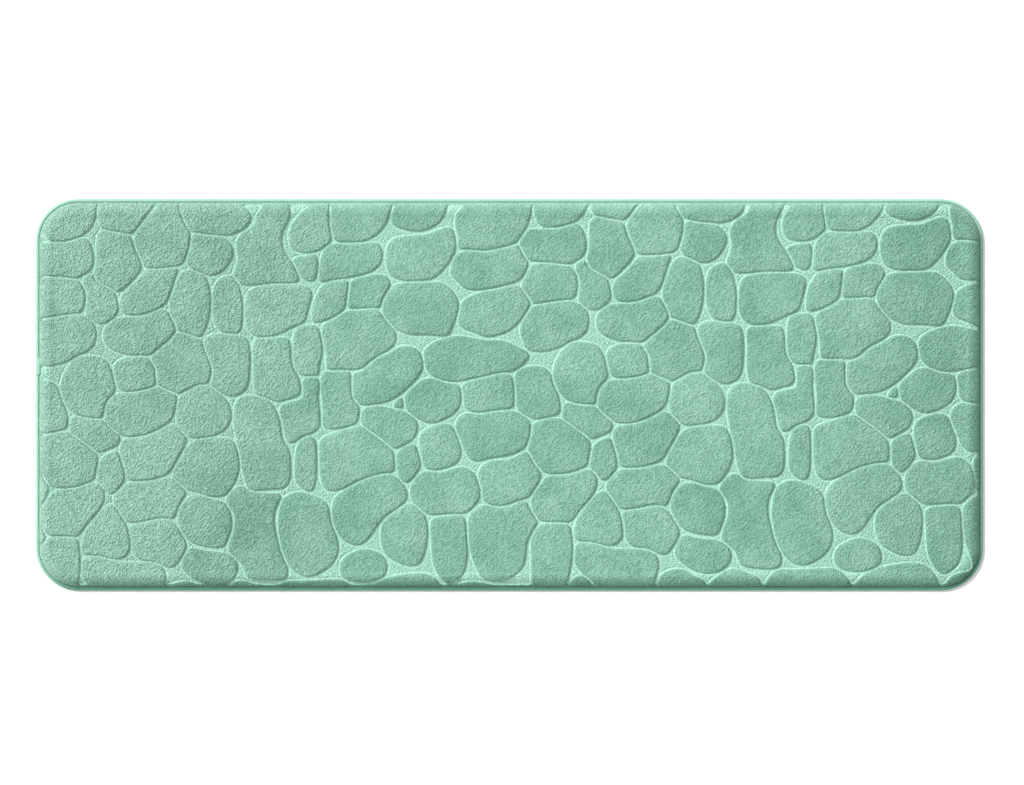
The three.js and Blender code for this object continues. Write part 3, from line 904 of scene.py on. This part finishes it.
class Nodes:
    """A material's node tree, with short calls for the nodes that the looks use."""

    def __init__(self, name, roughness, specular, sheen=0.0, sheen_tint=(1, 1, 1, 1)):
        self.material = bpy.data.materials.new(name)
        self.material.use_nodes = True
        self.tree = self.material.node_tree
        self.shader = self.tree.nodes["Principled BSDF"]
        self.place = self.node("TexCoord", {}).outputs["Object"]
        self.plug(self.shader, {
            "Roughness": roughness,
            "Specular IOR Level": specular,
            "Sheen Weight": sheen,
            "Sheen Roughness": 0.45,
            "Sheen Tint": sheen_tint,
        })

    def plug(self, node, given):
        """Fills each input with its value, or links it to the output given for it."""
        for key, value in given.items():
            if isinstance(value, bpy.types.NodeSocket):
                self.tree.links.new(value, node.inputs[key])
            else:
                node.inputs[key].default_value = value

    def node(self, kind, given, **properties):
        node = self.tree.nodes.new("ShaderNode" + kind)
        for name, value in properties.items():
            setattr(node, name, value)
        self.plug(node, given)
        return node

    def stretched(self, scale, turn):
        given = {"Scale": [1 / c for c in scale], "Rotation": (0, 0, turn), "Vector": self.place}
        return self.node("Mapping", given, vector_type="TEXTURE").outputs["Vector"]

    def noise(self, scale, detail, rough=0.55, stretch=None, turn=0.0):
        place = self.stretched(stretch, turn) if stretch else self.place
        given = {"Scale": scale, "Detail": detail, "Roughness": rough, "Vector": place}
        return self.node("TexNoise", given).outputs["Fac"]

    def cells(self, scale, smoothness):
        given = {"Scale": scale, "Smoothness": smoothness, "Vector": self.place}
        return self.node("TexVoronoi", given, feature="SMOOTH_F1").outputs["Distance"]

    def stripes(self, scale, direction, distortion):
        given = {"Scale": scale, "Distortion": distortion, "Detail": 1.0, "Vector": self.place}
        return self.node("TexWave", given, bands_direction=direction).outputs["Fac"]

    def value(self, name):
        return self.node("Attribute", {}, attribute_name=name).outputs["Fac"]

    def maths(self, operation, a, b=0.0, c=0.0, clamp=False):
        return self.node("Math", {0: a, 1: b, 2: c}, operation=operation, use_clamp=clamp).outputs["Value"]

    def weighed(self, a, share, b, rest):
        """One value times its share plus another times the rest."""
        return self.maths("MULTIPLY_ADD", a, share, self.maths("MULTIPLY", b, rest))

    def smooth_range(self, value, low, high):
        given = {"From Min": low, "From Max": high, "Value": value}
        return self.node("MapRange", given, interpolation_type="SMOOTHSTEP").outputs["Result"]

    def ramp(self, factor, *stops):
        node = self.node("ValToRGB", {"Fac": factor})
        while len(node.color_ramp.elements) < len(stops):
            node.color_ramp.elements.new(0.5)
        for element, (position, colour) in zip(node.color_ramp.elements, stops):
            element.position = position
            element.color = srgb(colour)
        return node.outputs["Color"]

    def mix(self, factor, a, b, blend="MIX"):
        given = {0: factor, 6: a, 7: b if isinstance(b, bpy.types.NodeSocket) else srgb(b)}
        return self.node("Mix", given, data_type="RGBA", blend_type=blend).outputs[2]

    def finish(self, colour, height, distance):
        """The material, coloured, with its surface raised by a height over a distance in metres."""
        bump = self.node("Bump", {"Distance": distance, "Strength": 1.0, "Height": height})
        self.plug(self.shader, {"Normal": bump.outputs["Normal"], "Base Color": colour})
        return self.material


def fleece():
    """Short dense pile: mid green on the stones, paler in the grooves, darker where it is brushed, with
    painted shade on the shoulders that face away from the light and a painted highlight on the far shoulder.
    """
    m = Nodes("fleece", 0.92, 0.12, 0.30, (0.80, 1.0, 0.90, 1.0))
    fibres = m.noise(900, 2, 0.6)
    tufts = m.noise(490, 1.5, 0.5, (0.8, 1.0, 1.0), math.radians(45))
    broad = m.noise(26, 3, 0.6)
    pile = m.maths("MULTIPLY_ADD", m.value("tuft"), 0.09, m.maths("MULTIPLY_ADD", tufts, 0.75, 0.12))
    top = m.ramp(pile, (0.30, (111, 154, 137)), (0.50, (136, 177, 160)), (0.70, (156, 196, 180)))
    top = m.mix(m.maths("MULTIPLY", broad, 0.22), top, (112, 160, 140))
    # How far the brushing darkens the pile; the nap value also holds the painted highlight on the far
    # shoulder
    brushed_and_painted_highlight = m.maths("MULTIPLY_ADD", m.value("ruffle"), -1.0, 1.25)
    brushed_and_painted_highlight = m.maths("MULTIPLY_ADD", m.value("nap_and_painted_highlight"), 1.15, brushed_and_painted_highlight, clamp=True)
    top = m.mix(brushed_and_painted_highlight, top, (203, 217, 213), "MULTIPLY")
    # Painted shade on the shoulders that face away from the light
    top = m.mix(m.value("shade"), top, (164, 196, 184), "MULTIPLY")

    floor = m.ramp(tufts, (0.30, (132, 179, 161)), (0.70, (168, 210, 194)))
    pocket_floor = m.ramp(tufts, (0.30, (112, 157, 140)), (0.70, (158, 201, 184)))
    in_pocket = m.smooth_range(m.value("emboss"), 0.0, -1.0)
    floor = m.mix(m.maths("MULTIPLY", in_pocket, 0.6), floor, pocket_floor)
    sunk = m.smooth_range(m.value("emboss"), 0.72, 0.12)
    colour = m.mix(m.maths("MULTIPLY", sunk, 0.9), top, floor)

    height = m.maths("MULTIPLY", m.maths("MULTIPLY_ADD", fibres, 0.1, tufts), m.value("ruffle"))
    flattened = m.maths("MULTIPLY_ADD", m.maths("SUBTRACT", sunk, in_pocket), -0.4, 1.0)
    height = m.maths("MULTIPLY", height, flattened)
    return m.finish(colour, height, 0.0042)


def foam():
    m = Nodes("foam", 0.9, 0.2)
    pores = m.cells(900, 0.2)
    grain = m.noise(420, 4)
    mixed = m.maths("MULTIPLY_ADD", grain, 0.5, pores)
    colour = m.ramp(mixed, (0.25, (205, 194, 160)), (0.8, (240, 233, 211)))
    return m.finish(colour, m.maths("MULTIPLY_ADD", pores, 1.5, grain), 0.0004)


def backing():
    m = Nodes("backing", 0.85, 0.2, 0.1)
    weave = m.maths("MAXIMUM", m.stripes(420, "X", 0.6), m.stripes(420, "Y", 0.6))
    grain = m.noise(240, 3)
    mixed = m.weighed(weave, 0.4, grain, 0.6)
    colour = m.ramp(mixed, (0.30, (160, 178, 169)), (0.75, (196, 211, 203)))
    return m.finish(colour, m.maths("MULTIPLY_ADD", grain, 0.4, weave), 0.0003)


def grip():
    m = Nodes("grip", 0.42, 0.45)
    grain = m.noise(700, 2)
    tone = m.maths("MULTIPLY_ADD", m.value("tone"), 0.22, m.maths("MULTIPLY_ADD", grain, 0.5, 0.25))
    colour = m.ramp(tone, (0.2, (214, 220, 215)), (0.8, (240, 243, 240)))
    return m.finish(colour, grain, 0.0001)


def tape():
    m = Nodes("tape", 0.88, 0.15, 0.2, (0.85, 1.0, 0.93, 1.0))
    ribs = m.stripes(330, "DIAGONAL", 0.8)
    grain = m.noise(520, 3)
    mixed = m.weighed(ribs, 0.35, grain, 0.65)
    colour = m.ramp(mixed, (0.25, (116, 161, 142)), (0.5, (136, 182, 163)), (0.78, (152, 197, 178)))
    # Painted shade where the edge faces away from the light
    colour = m.mix(m.value("shade"), colour, SHADE_TINT, "MULTIPLY")
    return m.finish(colour, m.maths("MULTIPLY_ADD", ribs, 0.7, grain), 0.0003)


def thread():
    m = Nodes("thread", 0.55, 0.35, 0.1)
    twist = 0.0009
    turns = m.maths("SINE", m.maths("MULTIPLY", m.value("along"), 2 * math.pi / twist))
    grain = m.noise(900, 2)
    mixed = m.maths("MULTIPLY_ADD", turns, 0.2, m.maths("MULTIPLY_ADD", grain, 0.4, 0.3))
    colour = m.ramp(mixed, (0.2, (112, 160, 141)), (0.8, (154, 200, 181)))
    # Painted shade where the edge faces away from the light
    colour = m.mix(m.value("shade"), colour, SHADE_TINT, "MULTIPLY")
    return m.finish(colour, mixed, 0.0001)


def satin():
    m = Nodes("satin", 0.38, 0.5, 0.1)
    floats = m.noise(500, 2, 0.5, (1.0, 6.0, 1.0))
    threads = m.stripes(900, "X", 0.3)
    mixed = m.weighed(threads, 0.4, floats, 0.6)
    colour = m.ramp(mixed, (0.2, (228, 228, 222)), (0.8, (250, 250, 246)))
    return m.finish(colour, threads, 0.00008)


# ---- Floor, light and camera ----

def sun(name, place, strength, softness, colour):
    """A soft lamp as far off as a studio's big panel, so that its light is even over the whole mat."""
    data = bpy.data.lights.new(name, "SUN")
    data.energy = strength
    data.angle = math.radians(softness)
    data.color = colour
    lamp = bpy.data.objects.new(name, data)
    lamp.location = place
    lamp.rotation_euler = Vector(place).to_track_quat("Z", "Y").to_euler()
    bpy.context.scene.collection.objects.link(lamp)


def sky():
    """A plain pale surround, brightest low down where it meets the floor."""
    world = bpy.data.worlds.new("studio")
    world.use_nodes = True
    tree = world.node_tree
    place = tree.nodes.new("ShaderNodeTexCoord")
    split = tree.nodes.new("ShaderNodeSeparateXYZ")
    fall = tree.nodes.new("ShaderNodeMapRange")
    for key, value in zip(("From Min", "From Max", "To Min", "To Max"), (0.08, 0.35, 1.0, WORLD_LIGHT)):
        fall.inputs[key].default_value = value
    tree.links.new(place.outputs["Generated"], split.inputs[0])
    tree.links.new(split.outputs["Z"], fall.inputs["Value"])
    tree.links.new(fall.outputs["Result"], tree.nodes["Background"].inputs["Strength"])
    tree.nodes["Background"].inputs["Color"].default_value = (1.0, 1.0, 1.0, 1.0)
    bpy.context.scene.world = world


def studio():
    """A plain pale floor, the surround and two soft lamps, the brighter one up and to the left."""
    bpy.ops.mesh.primitive_plane_add(size=80)
    floor = bpy.context.object
    floor.name = "studio_floor"
    m = Nodes("studio_floor", 0.9, 0.1)
    speckle = m.ramp(m.noise(3, 2), (0.3, (249, 249, 249)), (0.7, (252, 252, 252)))
    m.plug(m.shader, {"Base Color": speckle})
    floor.data.materials.append(m.material)
    sky()
    sun("key", (-2.2, 1.75, 2.25), KEY_LIGHT, 24, (1.0, 0.99, 0.97))
    sun("fill", (2.2, -2.2, 3.0), FILL_LIGHT, 60, (0.98, 0.99, 1.0))


def look_down():
    """A long lens straight above the mat."""
    data = bpy.data.cameras.new("camera")
    data.lens = 150
    data.sensor_width = 36
    data.clip_end = 50
    camera = bpy.data.objects.new("camera", data)
    camera.location = CAMERA_PLACE
    bpy.context.scene.collection.objects.link(camera)
    bpy.context.scene.camera = camera
    bpy.context.scene.view_settings.view_transform = "Standard"
    bpy.context.scene.view_settings.look = "None"


# ---- The mat ----

def add(obj, node, material):
    """One piece of the mat with its material, standing in for its plain CAD node."""
    obj.data.materials.append(material)
    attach(obj, "root")
    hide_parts(node)
    return obj


grid_x, grid_y = rounded_grid(SHOULDER_TOP, *FINE)
field, tones = (c.reshape(grid_x.shape) for c in stone_field(grid_x.ravel(), grid_y.ravel()))
thread_material = thread()

foam_piece = add(foam_core(grid_x, grid_y, field), "foam_core", foam())
face = add(face_cover(grid_x, grid_y, field, tones), "face_cover", fleece())
backing_piece = add(backing_cloth(), "backing_cloth", backing())
dots = add(grip_dots(), "grip_dots", grip())
tape_piece = add(edge_tape(), "edge_tape", tape())
upper_thread = stitches("mat_needle_thread", TAPE_TOP + 2 * GAP, 1)
needle = add(upper_thread, "needle_thread", thread_material)
lower_thread = stitches("mat_bobbin_thread", TAPE_BOTTOM - 3 * GAP, -1)
bobbin = add(lower_thread, "bobbin_thread", thread_material)
label = add(care_label(), "care_label", satin())

studio()
look_down()
